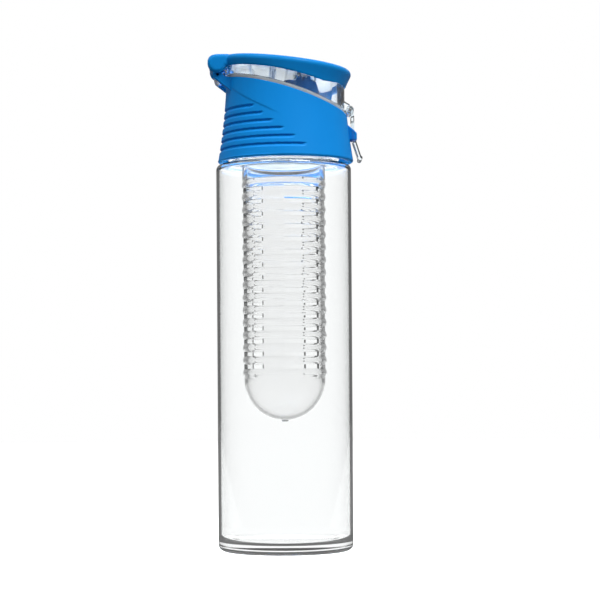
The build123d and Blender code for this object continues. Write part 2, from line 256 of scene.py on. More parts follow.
def clear_plastic(name, tint, passed, ior, roughness, ripple, ripple_size, milk=0.0, bare=False):
    """Clear moulded plastic: glossy, colourless but for a faint tint, with the slow ripple that a
    mould leaves in its walls. Lamps shine through it by the Transparent shader, tinted by passed,
    and so does the room's scattered light where it is bare. Milk is the share of light that a
    hazy plastic scatters. ripple_size is the width of one wave in millimetres."""
    made, tree = material(name)
    place = object_place(tree)
    waves = add(
        tree,
        "ShaderNodeTexNoise",
        {"Vector": place, "Scale": 1 / (ripple_size * mm), "Detail": 1.0, "Roughness": 0.4},
    )
    bump = add(
        tree, "ShaderNodeBump", {"Height": waves, "Strength": ripple, "Distance": ripple_depth * mm}
    )
    body = add(
        tree,
        "ShaderNodeBsdfPrincipled",
        {
            "Base Color": linear(tint),
            "Roughness": roughness,
            "IOR": ior,
            "Transmission Weight": 1.0 - milk,
            "Normal": bump,
        },
    )
    lamp_light = add(tree, "ShaderNodeBsdfTransparent", {"Color": linear(passed)})
    path = add(tree, "ShaderNodeLightPath").outputs
    if bare:
        body = add(tree, "ShaderNodeMixShader", {0: path["Is Diffuse Ray"], 1: body, 2: lamp_light})
    mix = add(tree, "ShaderNodeMixShader", {0: path["Is Shadow Ray"], 1: body, 2: lamp_light})
    add(tree, "ShaderNodeOutputMaterial", {"Surface": mix})
    return made


def moulded(name, colour, deep, roughness, grain_size, grain_depth, specular=0.5):
    """Opaque moulded plastic or rubber: one colour that drifts a little over the piece towards a
    deeper one, and an even grain from the mould that softens its gloss. The grain's sizes are
    millimetres, and coarser than the real skin's, which would be too fine to show."""
    made, tree = material(name)
    place = object_place(tree)
    drift = add(
        tree,
        "ShaderNodeTexNoise",
        {"Vector": place, "Scale": 1 / (drift_size * mm), "Detail": 2.0, "Roughness": 0.5},
    )
    mix = add(
        tree, "ShaderNodeMix", {0: drift, 6: linear(deep), 7: linear(colour)}, data_type="RGBA"
    )
    grain = add(
        tree,
        "ShaderNodeTexNoise",
        {"Vector": place, "Scale": 1 / (grain_size * mm), "Detail": 2.0, "Roughness": 0.6},
    )
    bump = add(
        tree, "ShaderNodeBump", {"Height": grain, "Strength": 0.5, "Distance": grain_depth * mm}
    )
    gloss = add(
        tree,
        "ShaderNodeMapRange",
        {"Value": grain, "To Min": roughness - gloss_spread, "To Max": roughness + gloss_spread},
    )
    body = add(
        tree,
        "ShaderNodeBsdfPrincipled",
        {
            "Base Color": mix.outputs[2],
            "Roughness": gloss,
            "IOR": 1.5,
            "Specular IOR Level": specular,
            "Normal": bump,
        },
    )
    add(tree, "ShaderNodeOutputMaterial", {"Surface": body})
    return made


def ground_steel():
    """Stainless steel, ground: bright, with fine scratches drawn out along the pin's length, and
    coarser than real ones, to show."""
    made, tree = material("ground_stainless_pin")
    place = object_place(tree, (1.0, scratch_stretch, 1.0))
    lines = add(
        tree,
        "ShaderNodeTexNoise",
        {"Vector": place, "Scale": 1 / (scratch_pitch * mm), "Detail": 3.0},
    )
    gloss = add(tree, "ShaderNodeMapRange", {"Value": lines, "To Min": 0.18, "To Max": 0.38})
    bump = add(
        tree, "ShaderNodeBump", {"Height": lines, "Strength": 0.3, "Distance": scratch_depth * mm}
    )
    body = add(
        tree,
        "ShaderNodeBsdfPrincipled",
        {"Base Color": linear("C9CBCD"), "Metallic": 1.0, "Roughness": gloss, "Normal": bump},
    )
    add(tree, "ShaderNodeOutputMaterial", {"Surface": body})
    return made


# Clear copolyester, blow moulded: a bright wall with dark lines where it is seen edge on
bottle_plastic = clear_plastic(
    "clear_copolyester_bottle",
    tint="FEFFFF",
    passed="F4F7F9",
    ior=1.52,
    roughness=0.015,
    ripple=0.25,
    ripple_size=26,
)
# Clear styrene plastic, injection moulded: sharper ribs, and a touch greyer than the bottle
basket_plastic = clear_plastic(
    "clear_styrene_basket",
    tint="FDFDFD",
    passed="F0F2F2",
    ior=1.5,
    roughness=0.02,
    ripple=0.2,
    ripple_size=9,
)
# Clear copolyester, injection moulded: a cool cast in the small latch
latch_plastic = clear_plastic(
    "clear_copolyester_latch",
    tint="EDF4F8",
    passed="DFE8EE",
    ior=1.53,
    roughness=0.03,
    ripple=0.25,
    ripple_size=12,
    bare=True,
)
# The same copolyester in the thin band round the spout, where it looks clearer
band_plastic = clear_plastic(
    "clear_copolyester_band",
    tint="F6FAFC",
    passed="E9F0F4",
    ior=1.5,
    roughness=0.03,
    ripple=0.25,
    ripple_size=12,
)
# The same with the textured face of the flip top's roof: milky, and it hides what is above
roof_plastic = clear_plastic(
    "frosted_copolyester_roof",
    tint="F7F8F8",
    passed="8C98A0",
    ior=1.6,
    roughness=0.12,
    ripple=0.2,
    ripple_size=14,
    milk=0.85,
)
# Unpigmented polypropylene, moulded: hazy all through, so that the deck's edge is a pale line
deck_plastic = clear_plastic(
    "hazy_polypropylene_deck",
    tint="D6DCE0",
    passed="C8D0D6",
    ior=1.5,
    roughness=0.12,
    ripple=0.2,
    ripple_size=10,
    milk=0.6,
)
# Soft thermoplastic rubber, moulded over the lid: strong azure, satin, with a fine skin
grip_rubber = moulded(
    "azure_soft_grip_rubber",
    colour="0D95EE",
    deep="0C8DE6",
    roughness=0.46,
    grain_size=0.5,
    grain_depth=0.02,
    specular=0.1,
)
# ABS plastic, injection moulded: the same azure, a little deeper and smoother
cover_plastic = moulded(
    "azure_abs_cover",
    colour="0A8ADB",
    deep="0984D3",
    roughness=0.38,
    grain_size=0.7,
    grain_depth=0.012,
    specular=0.1,
)
# Silicone rubber, moulded: deeper blue and nearly matt
seal_silicone = moulded(
    "deep_blue_silicone",
    colour="063C6C",
    deep="053562",
    roughness=0.5,
    grain_size=0.6,
    grain_depth=0.015,
    specular=0.05,
)
# Polypropylene, moulded: milky white, as the hidden collar is
collar_plastic = moulded(
    "white_polypropylene_collar",
    colour="E4E8EB",
    deep="DDE2E6",
    roughness=0.4,
    grain_size=0.8,
    grain_depth=0.015,
)
# Clear silicone rubber, moulded: milky and soft looking
ring_silicone = moulded(
    "milky_silicone_ring",
    colour="DCE2E6",
    deep="D3DADF",
    roughness=0.55,
    grain_size=0.6,
    grain_depth=0.015,
)
pin_steel = ground_steel()


# Meshes


def plain_mesh(name, points, faces):
    """A mesh from points in millimetres."""
    data = bpy.data.meshes.new(name)
    data.from_pydata([(x * mm, y * mm, z * mm) for x, y, z in points], [], faces)
    return data


def welded(parts, distance):
    """The first of these meshes with the others joined on, welded, with its faces outwards."""
    work = bmesh.new()
    for part in parts:
        work.from_mesh(part)
    bmesh.ops.remove_doubles(work, verts=work.verts, dist=distance * mm)
    bmesh.ops.recalc_face_normals(work, faces=work.faces)
    work.to_mesh(parts[0])
    work.free()
    return parts[0]


def dress(data, name, finish, body, nodes=(), sharp=sharp_angle):
    """An object of this mesh with its finish, smooth but for its edges, riding on its body and
    standing for its CAD nodes."""
    data.shade_smooth()
    data.set_sharp_from_angle(angle=radians(sharp))
    data.materials.clear()
    data.materials.append(finish)
    made = bpy.data.objects.new(name, data)
    scene.collection.objects.link(made)
    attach(made, body)
    if nodes:
        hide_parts(*nodes)
    return made


def ease_edges(made, width, segments=2):
    """Rounds a piece's sharp edges by this much."""
    ease = made.modifiers.new("eased_edges", "BEVEL")
    ease.width = width * mm
    ease.segments = segments
    ease.limit_method = "ANGLE"
    ease.angle_limit = radians(bevel_angle)


def cad_copy(node, finish, body, edge=0.0, sharp=sharp_angle, name=None):
    """A CAD node's shape with welded faces, and its sharp edges eased by this much."""
    name = name or node + "_shape"
    work = bmesh.new()
    work.from_mesh(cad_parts[node].data)
    bmesh.ops.remove_doubles(work, verts=work.verts, dist=cad_weld * mm)
    bmesh.ops.dissolve_limit(
        work,
        angle_limit=radians(flat_angle),
        verts=work.verts,
        edges=work.edges,
        delimit={"NORMAL"},
    )
    data = bpy.data.meshes.new(name)
    work.to_mesh(data)
    work.free()
    made = dress(data, name, finish, body, (node,), sharp)
    if edge:
        ease_edges(made, edge)
    return made


def rounded(corners, steps=5):
    """A line through corners (u, v, radius), with an arc of that radius at each one."""
    line = []
    for i, (u, v, radius) in enumerate(corners):
        before = Vector(corners[i - 1][:2]) if i else None
        after = Vector(corners[i + 1][:2]) if i + 1 < len(corners) else None
        here = Vector((u, v))
        if not radius or before is None or after is None:
            line.append((u, v))
            continue
        back = (before - here).normalized()
        ahead = (after - here).normalized()
        half = back.angle(ahead) / 2
        reach = radius / tan(half)
        centre = here + (back + ahead).normalized() * radius / sin(half)
        start = here + back * reach - centre
        turn = start.angle_signed(here + ahead * reach - centre)
        for step in range(steps + 1):
            point = centre + Matrix.Rotation(-turn * step / steps, 2) @ start
            line.append((point.x, point.y))
    return line


def lathe(line, turns):
    """Points and faces of a line (radius, height) turned round the vertical axis."""
    points, faces, rings = [], [], []
    for radius, height in line:
        if radius < on_axis:
            rings.append([len(points)] * turns)
            points.append((0.0, 0.0, height))
            continue
        rings.append([len(points) + i for i in range(turns)])
        for i in range(turns):
            angle = 2 * pi * i / turns
            points.append((radius * cos(angle), radius * sin(angle), height))
    for low, high in zip(rings, rings[1:]):
        for i in range(turns):
            j = (i + 1) % turns
            faces.append(tuple(dict.fromkeys((low[i], low[j], high[j], high[i]))))
    return points, faces


# Geometry Nodes helpers


def tree_with(name, sizes):
    """A Geometry Nodes tree with these named inputs, and its input sockets and output node."""
    tree = bpy.data.node_groups.new(name, "GeometryNodeTree")
    for label, kind in sizes.items():
        tree.interface.new_socket(name=label, in_out="INPUT", socket_type="NodeSocket" + kind)
    tree.interface.new_socket(name="Geometry", in_out="OUTPUT", socket_type="NodeSocketGeometry")
    return tree, tree.nodes.new("NodeGroupInput").outputs, tree.nodes.new("NodeGroupOutput")


def end_tree(tree, out, shape, finish):
    """Ends a tree with its shape as one plain mesh that has its finish."""
    single = add(tree, "GeometryNodeRealizeInstances", {"Geometry": shape})
    coated = add(tree, "GeometryNodeSetMaterial", {"Geometry": single, "Material": finish})
    tree.links.new(coated.outputs[0], out.inputs[0])


def grown(tree, name, values):
    """The plain mesh that a tree makes with these input values."""
    seed = bpy.data.objects.new(name, bpy.data.meshes.new(name))
    scene.collection.objects.link(seed)
    live = seed.modifiers.new(name, "NODES")
    live.node_group = tree
    for item in tree.interface.items_tree:
        if item.in_out == "INPUT" and item.name in values:
            live[item.identifier] = values[item.name]
    depsgraph = bpy.context.evaluated_depsgraph_get()
    data = bpy.data.meshes.new_from_object(seed.evaluated_get(depsgraph), depsgraph=depsgraph)
    seed.modifiers.remove(live)
    bpy.data.objects.remove(seed)
    return data


# Bottle body, one closed wall turned round its axis, with the thread on its neck

bottle_inner = bottle_radius - bottle_wall
bottle_floor = base_hollow + base_thickness
bottle_line = rounded(
    [
        (0, base_hollow, 0),
        (foot_radius - foot_slope, base_hollow, neck_root),
        (foot_radius, 0, neck_root / 2),
        (bottle_radius, 0, base_corner),
        (bottle_radius, shoulder_height, shoulder_corner),
        (neck_radius, neck_foot, neck_root),
        (neck_radius, neck_top, neck_root / 2),
        (neck_bore, neck_top, neck_root / 2),
        (neck_bore, neck_foot - bottle_wall, neck_root),
        (bottle_inner, shoulder_height - bottle_wall, shoulder_corner - bottle_wall / 2),
        (bottle_inner, bottle_floor, base_corner + bottle_wall / 2),
        (0, bottle_floor, 0),
    ],
    steps=7,
)


def thread_tree():
    """A ridge that climbs round a wall, with a flat crest and sloping sides."""
    tree, given, out = tree_with(
        "climbing_thread_ridge",
        {
            "Radius": "Float",
            "Turns": "Float",
            "Pitch": "Float",
            "Depth": "Float",
            "Root Width": "Float",
            "Crest Width": "Float",
            "Foot Height": "Float",
            "Plastic": "Material",
        },
    )
    climb = add(
        tree, "ShaderNodeMath", {0: given["Turns"], 1: given["Pitch"]}, operation="MULTIPLY"
    )
    spiral = add(
        tree,
        "GeometryNodeCurveSpiral",
        {
            "Resolution": thread_steps,
            "Rotations": given["Turns"],
            "Start Radius": given["Radius"],
            "End Radius": given["Radius"],
            "Height": climb,
        },
    )
    upright = add(tree, "GeometryNodeSetCurveNormal", {"Curve": spiral}, mode="Z_UP")
    section = add(
        tree,
        "GeometryNodeCurvePrimitiveQuadrilateral",
        {
            "Height": given["Depth"],
            "Bottom Width": given["Root Width"],
            "Top Width": given["Crest Width"],
            "Offset": 0.0,
        },
        mode="TRAPEZOID",
    )
    ridge = add(
        tree,
        "GeometryNodeCurveToMesh",
        {"Curve": upright, "Profile Curve": section, "Fill Caps": True},
    )
    lift = add(tree, "ShaderNodeCombineXYZ", {"Z": given["Foot Height"]})
    placed = add(tree, "GeometryNodeTransform", {"Geometry": ridge, "Translation": lift})
    end_tree(tree, out, placed, given["Plastic"])
    return tree


neck_thread = grown(
    thread_tree(),
    "neck_thread",
    {
        "Radius": (neck_radius + thread_depth / 2) * mm,
        "Turns": thread_turns,
        "Pitch": thread_pitch * mm,
        "Depth": thread_depth * mm,
        "Root Width": thread_root * mm,
        "Crest Width": thread_crest * mm,
        "Foot Height": thread_foot * mm,
        "Plastic": bottle_plastic,
    },
)
bottle_mesh = plain_mesh("bottle_wall", *lathe(bottle_line, bottle_turns))
dress(
    welded([bottle_mesh, neck_thread], part_weld),
    "bottle_wall",
    bottle_plastic,
    "bottle",
    ("bottle_body",),
)

# Infuser basket: Geometry Nodes make the ribbed wall with its rows of slots, and the flanged
# collar above it and the round end below are turned and welded on

rib_height = slot_pitch - slot_height
ribs_foot = first_slot - (slot_rows - 1) * slot_pitch - slot_height / 2 - rib_height
ribs_top = first_slot + slot_height / 2 + rib_height


def basket_tree():
    """A round wall of rings, smooth inside and bulged outside, with slots between the rings. It
    starts as a tube one unit high for each cell, and its points are then moved into place."""
    tree, given, out = tree_with(
        "ribbed_slotted_wall",
        {
            "Slot Rows": "Int",
            "Slot Columns": "Int",
            "Turns": "Int",
            "Rib Cells": "Int",
            "Slot Cells": "Int",
            "Rib Height": "Float",
            "Slot Height": "Float",
            "Slot Share": "Float",
            "Slot Start": "Float",
            "Foot Height": "Float",
            "Bore Radius": "Float",
            "Groove Radius": "Float",
            "Rib Rise": "Float",
            "Plastic": "Material",
        },
    )
    ribs, slots = given["Rib Cells"], given["Slot Cells"]
    nudge = 0.001
    near = 0.01
    period = add(tree, "ShaderNodeMath", {0: ribs, 1: slots}, operation="ADD")
    rows = add(tree, "ShaderNodeMath", {0: period, 1: given["Slot Rows"]}, operation="MULTIPLY")
    cells = add(tree, "ShaderNodeMath", {0: rows, 1: ribs}, operation="ADD")
    tube = add(
        tree,
        "GeometryNodeMeshCylinder",
        {"Vertices": given["Turns"], "Side Segments": cells, "Radius": 1.0, "Depth": cells},
        fill_type="NONE",
    )
    position = add(tree, "GeometryNodeInputPosition")
    place = add(tree, "ShaderNodeSeparateXYZ", {0: position}).outputs

    # The cell counted up from the foot, its ring of one rib and one slot, and its step in that
    # ring. The nudge keeps a border with the ring above it.
    half = add(tree, "ShaderNodeMath", {0: cells, 1: 0.5}, operation="MULTIPLY")
    raised = add(tree, "ShaderNodeMath", {0: place["Z"], 1: half}, operation="ADD")
    row = add(tree, "ShaderNodeMath", {0: raised, 1: 0.0}, operation="MAXIMUM")
    nudged = add(tree, "ShaderNodeMath", {0: row, 1: nudge}, operation="ADD")
    rings = add(tree, "ShaderNodeMath", {0: nudged, 1: period}, operation="DIVIDE")
    ring = add(tree, "ShaderNodeMath", {0: rings}, operation="FLOOR")
    ring_foot = add(tree, "ShaderNodeMath", {0: ring, 1: period}, operation="MULTIPLY")
    step = add(tree, "ShaderNodeMath", {0: row, 1: ring_foot}, operation="SUBTRACT")

    # The slots, in the upper cells of each ring and in even columns round it
    angle = add(tree, "ShaderNodeMath", {0: place["Y"], 1: place["X"]}, operation="ARCTAN2")
    past = add(tree, "ShaderNodeMath", {0: angle, 1: given["Slot Start"]}, operation="SUBTRACT")
    turn = add(tree, "ShaderNodeMath", {0: past, 1: 2 * pi}, operation="DIVIDE")
    columns = add(tree, "ShaderNodeMath", {0: turn, 1: given["Slot Columns"]}, operation="MULTIPLY")
    column = add(tree, "ShaderNodeMath", {0: columns}, operation="FRACT")
    in_row = add(tree, "ShaderNodeMath", {0: step, 1: ribs}, operation="GREATER_THAN")
    in_column = add(
        tree, "ShaderNodeMath", {0: column, 1: given["Slot Share"]}, operation="LESS_THAN"
    )
    slot = add(tree, "ShaderNodeMath", {0: in_row, 1: in_column}, operation="MULTIPLY")
    opened = add(
        tree,
        "GeometryNodeDeleteGeometry",
        {"Geometry": tube, "Selection": slot},
        domain="FACE",
    )

    # The outer wall, joined to the inner one round each slot but open at the foot and the top
    walled = add(
        tree,
        "GeometryNodeExtrudeMesh",
        {"Mesh": opened, "Offset Scale": 0.0, "Individual": False},
        mode="FACES",
    ).outputs
    at_foot = add(tree, "ShaderNodeMath", {0: row, 1: near}, operation="LESS_THAN")
    top_row = add(tree, "ShaderNodeMath", {0: cells, 1: near}, operation="SUBTRACT")
    at_top = add(tree, "ShaderNodeMath", {0: row, 1: top_row}, operation="GREATER_THAN")
    at_end = add(tree, "ShaderNodeMath", {0: at_foot, 1: at_top}, operation="MAXIMUM")
    end_wall = add(tree, "ShaderNodeMath", {0: walled["Side"], 1: at_end}, operation="MULTIPLY")
    open_ends = add(
        tree,
        "GeometryNodeDeleteGeometry",
        {"Geometry": walled["Mesh"], "Selection": end_wall},
        domain="FACE",
    )

    # Shares of the way up the rib and up the slot, and from them the bulge and the height
    rib_step = add(tree, "ShaderNodeMath", {0: step, 1: ribs}, operation="MINIMUM")
    rib_share = add(tree, "ShaderNodeMath", {0: rib_step, 1: ribs}, operation="DIVIDE")
    over_rib = add(tree, "ShaderNodeMath", {0: step, 1: ribs}, operation="SUBTRACT")
    slot_step = add(tree, "ShaderNodeMath", {0: over_rib, 1: 0.0}, operation="MAXIMUM")
    slot_share = add(tree, "ShaderNodeMath", {0: slot_step, 1: slots}, operation="DIVIDE")
    rest = add(tree, "ShaderNodeMath", {0: 1.0, 1: rib_share}, operation="SUBTRACT")
    curve = add(tree, "ShaderNodeMath", {0: rib_share, 1: rest}, operation="MULTIPLY")
    bulge = add(tree, "ShaderNodeMath", {0: curve, 1: 4.0}, operation="MULTIPLY")
    swell = add(tree, "ShaderNodeMath", {0: bulge, 1: given["Rib Rise"]}, operation="MULTIPLY")
    outer = add(tree, "ShaderNodeMath", {0: given["Groove Radius"], 1: swell}, operation="ADD")
    pitch = add(
        tree, "ShaderNodeMath", {0: given["Rib Height"], 1: given["Slot Height"]}, operation="ADD"
    )
    height = given["Foot Height"]
    for share, size in (
        (ring, pitch),
        (rib_share, given["Rib Height"]),
        (slot_share, given["Slot Height"]),
    ):
        rise = add(tree, "ShaderNodeMath", {0: share, 1: size}, operation="MULTIPLY")
        height = add(tree, "ShaderNodeMath", {0: height, 1: rise}, operation="ADD")

    def bent(mesh, radius):
        """The unit tube's mesh bent to this radius, with its rows at their heights."""
        x = add(tree, "ShaderNodeMath", {0: place["X"], 1: radius}, operation="MULTIPLY")
        y = add(tree, "ShaderNodeMath", {0: place["Y"], 1: radius}, operation="MULTIPLY")
        point = add(tree, "ShaderNodeCombineXYZ", {"X": x, "Y": y, "Z": height})
        return add(tree, "GeometryNodeSetPosition", {"Geometry": mesh, "Position": point})

    outward = add(
        tree,
        "GeometryNodeSwitch",
        {"Switch": walled["Top"], "False": given["Bore Radius"], "True": outer},
        input_type="FLOAT",
    )
    outside = bent(open_ends, outward)
    inside = add(tree, "GeometryNodeFlipFaces", {"Mesh": bent(opened, given["Bore Radius"])})
    both = add(tree, "GeometryNodeJoinGeometry")
    tree.links.new(outside.outputs[0], both.inputs[0])
    tree.links.new(inside.outputs[0], both.inputs[0])
    closed = add(
        tree, "GeometryNodeMergeByDistance", {"Geometry": both, "Distance": cad_weld * mm}
    )
    end_tree(tree, out, closed, given["Plastic"])
    return tree


def dome_arc(radius):
    """The basket's round end at this radius, from its widest ring down to just short of the tip."""
    turns = [-pi / 2 * i / dome_steps for i in range(dome_steps)]
    return [(radius * cos(turn), dome_centre + radius * sin(turn)) for turn in turns]


ribbed_wall = grown(
    basket_tree(),
    "ribbed_wall",
    {
        "Slot Rows": slot_rows,
        "Slot Columns": slot_columns,
        "Turns": basket_turns,
        "Rib Cells": rib_cells,
        "Slot Cells": slot_cells,
        "Rib Height": rib_height * mm,
        "Slot Height": slot_height * mm,
        "Slot Share": slot_angle * slot_columns / 360,
        "Slot Start": radians(slot_start),
        "Foot Height": ribs_foot * mm,
        "Bore Radius": basket_bore * mm,
        "Groove Radius": groove_radius * mm,
        "Rib Rise": (rib_radius - groove_radius) * mm,
        "Plastic": basket_plastic,
    },
)
collar_line = rounded(
    [
        (groove_radius, ribs_top, 0),
        (basket_collar_radius, ribs_top, 0.3),
        (basket_collar_radius, flange_seat, 0.6),
        (flange_radius, flange_seat, 0.3),
        (flange_radius, flange_top, 0.3),
        (basket_bore, flange_top, 0.8),
        (basket_bore, ribs_top, 0),
    ],
    steps=4,
)
dome_tip = dome_centre - basket_radius
dome_outside = [
    (groove_radius, ribs_foot),
    (basket_radius, ribs_foot - dome_shoulder),
    *dome_arc(basket_radius),
    (gate_radius + gate_flare, dome_tip + gate_blend),
    (gate_radius, dome_tip - gate_rise),
    (0, dome_tip - gate_rise),
]
dome_inside = [
    (0, dome_centre - basket_bore),
    *reversed(dome_arc(basket_bore)),
    (basket_bore, ribs_foot),
]
basket_parts = [ribbed_wall] + [
    plain_mesh(name, *lathe(line, basket_turns))
    for name, line in (
        ("basket_collar", collar_line),
        ("basket_end", dome_outside),
        ("basket_inner_end", dome_inside),
    )
]
dress(
    welded(basket_parts, part_weld),
    "ribbed_basket",
    basket_plastic,
    "basket",
    ("infuser_basket",),
)

# Gaskets, soft rings with rounded edges


def gasket(name, foot, body, node):
    top = foot + gasket_height
    middle = (neck_bore + gasket_radius) / 2
    line = rounded(
        [
            (middle, foot, 0),
            (gasket_radius, foot, gasket_edge),
            (gasket_radius, top, gasket_edge),
            (neck_bore, top, gasket_edge),
            (neck_bore, foot, gasket_edge),
            (middle, foot, 0),
        ],
        steps=4,
    )
    ring = welded([plain_mesh(name, *lathe(line, gasket_turns))], fine_weld)
    dress(ring, name, ring_silicone, body, (node,))


gasket("lower_ring", neck_top, "basket", "flange_gasket")
gasket("upper_ring", flange_top, "lid_seal", "lid_gasket")

# Grip sleeve: a wall on a fine grid, with the finger grooves pressed into it


def sleeve_radius(height):
    left = max(0.0, (sleeve_foot + sleeve_height - height) / sleeve_height)
    return sleeve_top_radius + (sleeve_foot_radius - sleeve_top_radius) * left**sleeve_power


def groove_cut(height, angle):
    """How deep the finger grooves lie here: steep above and gently sloping below, so that each has
    a dark brow over a lit ledge. angle is measured from the back, in degrees."""
    deepest = 0.0
    bed = groove_brow / 3
    for groove in range(groove_count):
        rise = height - (sleeve_foot + groove_first + groove * groove_pitch)
        if -groove_slope < rise < groove_brow:
            end_angle = groove_reach - groove * groove_step
            past_end = radians(angle - end_angle) * sleeve_radius(height)
            ledge = smooth(-groove_slope, bed, rise)
            brow = 1 - smooth(bed, groove_brow, rise)
            end = 1 - smooth(-groove_taper, groove_tip, past_end + groove_tip_slant * abs(rise))
            deepest = max(deepest, groove_depth * ledge * brow * end)
    return deepest


def panel(height, angle):
    """The depth of the grip area's slightly sunken ground, whose upper edge runs down from the back
    of the lid."""
    edge = panel_top - panel_fall * (angle - panel_start)
    return panel_depth * smooth(0.0, panel_edge, edge - height) * (1 - smooth(*panel_fade, angle))


def sleeve_column(turn):
    """The loop of points up the outside, over the rim, down the inside and back to the foot."""
    angle = 2 * pi * turn / sleeve_turns
    from_back = abs(180 - degrees(angle))
    # The wall's radius at the rim and the rim's height depend on each other
    top = rim_guess
    for _ in range(rim_rounds):
        top = rim.height(lid_offset + sleeve_radius(top) * cos(angle)) - rim_gap
    column = []

    def put(radius, height, centre=lid_offset):
        column.append((centre + radius * cos(angle), radius * sin(angle), height))

    for step in range(edge_steps + 1):
        bend = pi / 2 * step / edge_steps
        inset, lift = sleeve_edge * (1 - sin(bend)), sleeve_edge * (1 - cos(bend))
        put(sleeve_widest - inset, sleeve_foot + lift)
    low = sleeve_foot + sleeve_edge
    high = top - rim_edge
    for row in range(1, sleeve_rows + 1):
        height = low + (high - low) * row / sleeve_rows
        cut = groove_cut(height, from_back) + panel(height, from_back)
        put(min(sleeve_widest, sleeve_radius(height)) - cut, height)
    brow = sleeve_radius(high)
    for step in range(1, edge_steps + 1):
        bend = pi / 2 * step / edge_steps
        put(brow - rim_edge * (1 - cos(bend)), high + rim_edge * sin(bend))
    put(sleeve_bore, rim.height(lid_offset + sleeve_bore * cos(angle)) - rim_gap, centre=0.0)
    put(sleeve_bore, pocket_top, centre=0.0)
    put(sleeve_radius(pocket_top) - sleeve_wall, pocket_top)
    put(sleeve_foot_radius - sleeve_wall, sleeve_foot)
    return column


sleeve_columns = [sleeve_column(turn) for turn in range(sleeve_turns)]
sleeve_loop = len(sleeve_columns[0])
sleeve_points = [point for column in sleeve_columns for point in column]
sleeve_faces = []
for turn in range(sleeve_turns):
    here = turn * sleeve_loop
    there = (turn + 1) % sleeve_turns * sleeve_loop
    for row in range(sleeve_loop):
        above = (row + 1) % sleeve_loop
        sleeve_faces.append((here + row, there + row, there + above, here + above))
dress(
    welded([plain_mesh("finger_grip_sleeve", sleeve_points, sleeve_faces)], fine_weld),
    "finger_grip_sleeve",
    grip_rubber,
    "lid",
    ("grip_sleeve",),
    sharp=50.0,
)

# Hinge ears and the latch's catch, moulded in one with the sleeve


def grip_block(name, outline, low, high, edge):
    """A side view outline (x, z) given a width along Y, with eased edges."""
    count = len(outline)
    points = [(x, low, z) for x, z in outline] + [(x, high, z) for x, z in outline]
    faces = [tuple(range(count)), tuple(range(2 * count - 1, count - 1, -1))]
    faces += [(i, (i + 1) % count, count + (i + 1) % count, count + i) for i in range(count)]
    data = welded([plain_mesh(name, points, faces)], fine_weld)
    ease_edges(dress(data, name, grip_rubber, "lid"), edge, segments=3)


def arc(x, z, radius, start, end, steps):
    """Points of an arc in the side view, from start to end in degrees."""
    turns = [radians(start + (end - start) * i / steps) for i in range(steps + 1)]
    return [(x + radius * cos(turn), z + radius * sin(turn)) for turn in turns]


ear_root_x = hinge_x + hinge_web_depth + ear_reach
ear_front_x = hinge_x + ear_front
ear_outline = arc(hinge_x, hinge_z, hinge_barrel, *ear_arc, ear_steps) + [
    (ear_root_x, hinge_z - hinge_web_drop),
    (ear_root_x, rim.height(ear_root_x) - ear_sink),
    (ear_front_x, rim.height(ear_front_x) - ear_sink),
]
grip_block("hinge_ear_right", ear_outline, -hinge_half_width, -knuckle_half_width, ear_edge)
grip_block("hinge_ear_left", ear_outline, knuckle_half_width, hinge_half_width, ear_edge)
catch_back = latch_x - catch_sink
catch_front = latch_x + catch_out
catch_outline = [
    (catch_back, latch_z - catch_top_drop),
    (catch_front, latch_z - catch_nose_drop),
    (catch_front, latch_z - catch_under_drop),
    (catch_back, latch_z - catch_under_drop),
]
grip_block("latch_catch", catch_outline, -catch_half_width, catch_half_width, catch_edge)

# Cover of the flip top


def lipped_cover():
    """The CAD cover on a fine even grid, relaxed so that the dome, the flared lip and the roll run
    into each other as they do on a moulding. The lip's feather edge is cut blunt."""
    made = cad_copy(
        "flip_cover",
        cover_plastic,
        "flip_top",
        sharp=180,
        name="lipped_cover",
    )
    work = bmesh.new()
    work.from_mesh(made.data)
    cut = bmesh.ops.bisect_plane(
        work,
        geom=work.verts[:] + work.edges[:] + work.faces[:],
        dist=fine_weld * mm,
        plane_co=(0, 0, lip_foot * mm),
        plane_no=(0, 0, 1),
        clear_inner=True,
    )
    cut_edges = [part for part in cut["geom_cut"] if isinstance(part, bmesh.types.BMEdge)]
    bmesh.ops.triangle_fill(work, edges=cut_edges, use_beauty=True)
    bmesh.ops.recalc_face_normals(work, faces=work.faces)
    work.to_mesh(made.data)
    work.free()
    grid = made.modifiers.new("even_grid", "REMESH")
    grid.mode = "VOXEL"
    grid.voxel_size = cover_grid * mm
    grid.use_smooth_shade = True
    ease = made.modifiers.new("relaxed_edges", "SMOOTH")
    ease.factor = 0.5
    ease.iterations = cover_ease


lipped_cover()

# Pieces whose CAD shape is right, with eased edges. The shell's roof is frosted.

clear_shell = cad_copy("flip_shell", band_plastic, "flip_top", edge=0.3)
clear_shell.data.materials.append(roof_plastic)
for face in clear_shell.data.polygons:
    x, y, z = face.center / mm
    if abs(face.normal.z) > roof_level and z > crown.height(x, -roof_depth):
        face.material_index = 1
cad_copy("spout_deck", deck_plastic, "lid", edge=0.25)
cad_copy("spout_seal", seal_silicone, "flip_top", edge=0.3)
cad_copy("latch", latch_plastic, "latch", edge=0.3)
cad_copy("screw_collar", collar_plastic, "lid", edge=0.2)
cad_copy("hinge_pin", pin_steel, "lid", edge=0.2)
cad_copy("latch_pin", pin_steel, "flip_top", edge=0.2)

# Floor, light and camera. Sizes and places are metres, and walls, tones and glows are
# brightnesses, where 1 is white.

white = linear("FFFFFF")
room_wall = 0.22
room_ceiling = 0.6
edge_wall = 0.1
back_wall = 1.0
inmost_wall = 0.15
backlight = 1.1
inner_light = 8.5
floor_tone = 2.0
floor_glow = 0.45
floor_radius = 1.6


